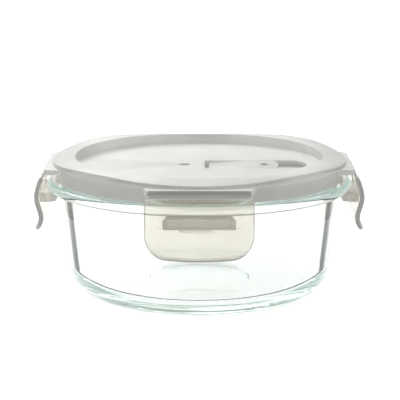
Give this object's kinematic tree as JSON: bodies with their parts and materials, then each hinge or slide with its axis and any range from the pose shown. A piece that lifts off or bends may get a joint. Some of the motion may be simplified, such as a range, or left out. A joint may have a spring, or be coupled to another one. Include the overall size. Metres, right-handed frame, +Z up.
{
  "type": "glass storage container",
  "caption": "Round glass food dish with a thick rim flange and a translucent plastic snap lid, hinged locking flaps that hook under the flange, and a lift-up steam vent",
  "frame": {"origin": "centre of the flat face the container stands on", "axes": "+Z up along the axis of the bowl; -Y towards the front flap; +X towards the vent lever's lifted end"},
  "size_m": [0.1858, 0.1858, 0.079],
  "materials": {
    "glass_bowl": "clear pressed borosilicate glass with a faint green edge",
    "lid": "translucent frosted greyish-white polypropylene",
    "lid_seal": "translucent silicone",
    "front_flap": "clear to milky polypropylene",
    "right_flap": "clear to milky polypropylene",
    "rear_flap": "clear to milky polypropylene",
    "left_flap": "clear to milky polypropylene",
    "vent_lever": "translucent frosted polypropylene",
    "vent_plug": "grey silicone"
  },
  "bodies": {
    "bowl": {"glass_bowl": "glass_bowl"},
    "lid_body": {"lid": "lid", "lid_seal": "lid_seal"},
    "front_flap_body": {"front_flap": "front_flap"},
    "right_flap_body": {"right_flap": "right_flap"},
    "rear_flap_body": {"rear_flap": "rear_flap"},
    "left_flap_body": {"left_flap": "left_flap"},
    "vent_body": {"vent_lever": "vent_lever", "vent_plug": "vent_plug"}
  },
  "joints": [
    {"name": "lid_turn", "type": "hinge", "parent": "bowl", "child": "lid_body", "pos_m": [0, 0, 0.066], "axis": [0, 0, 1], "continuous": true},
    {"name": "front_flap_hinge", "type": "hinge", "parent": "lid_body", "child": "front_flap_body", "pos_m": [0, -0.0871, 0.07155], "axis": [-1, 0, 0], "range_deg": [0, 120]},
    {"name": "right_flap_hinge", "type": "hinge", "parent": "lid_body", "child": "right_flap_body", "pos_m": [0.0871, 0, 0.07155], "axis": [0, -1, 0], "range_deg": [0, 120]},
    {"name": "rear_flap_hinge", "type": "hinge", "parent": "lid_body", "child": "rear_flap_body", "pos_m": [0, 0.0871, 0.07155], "axis": [1, 0, 0], "range_deg": [0, 120]},
    {"name": "left_flap_hinge", "type": "hinge", "parent": "lid_body", "child": "left_flap_body", "pos_m": [-0.0871, 0, 0.07155], "axis": [0, 1, 0], "range_deg": [0, 120]},
    {"name": "vent_hinge", "type": "hinge", "parent": "lid_body", "child": "vent_body", "pos_m": [0.0063, 0, 0.0708], "axis": [0, -1, 0], "range_deg": [0, 90]}
  ]
}
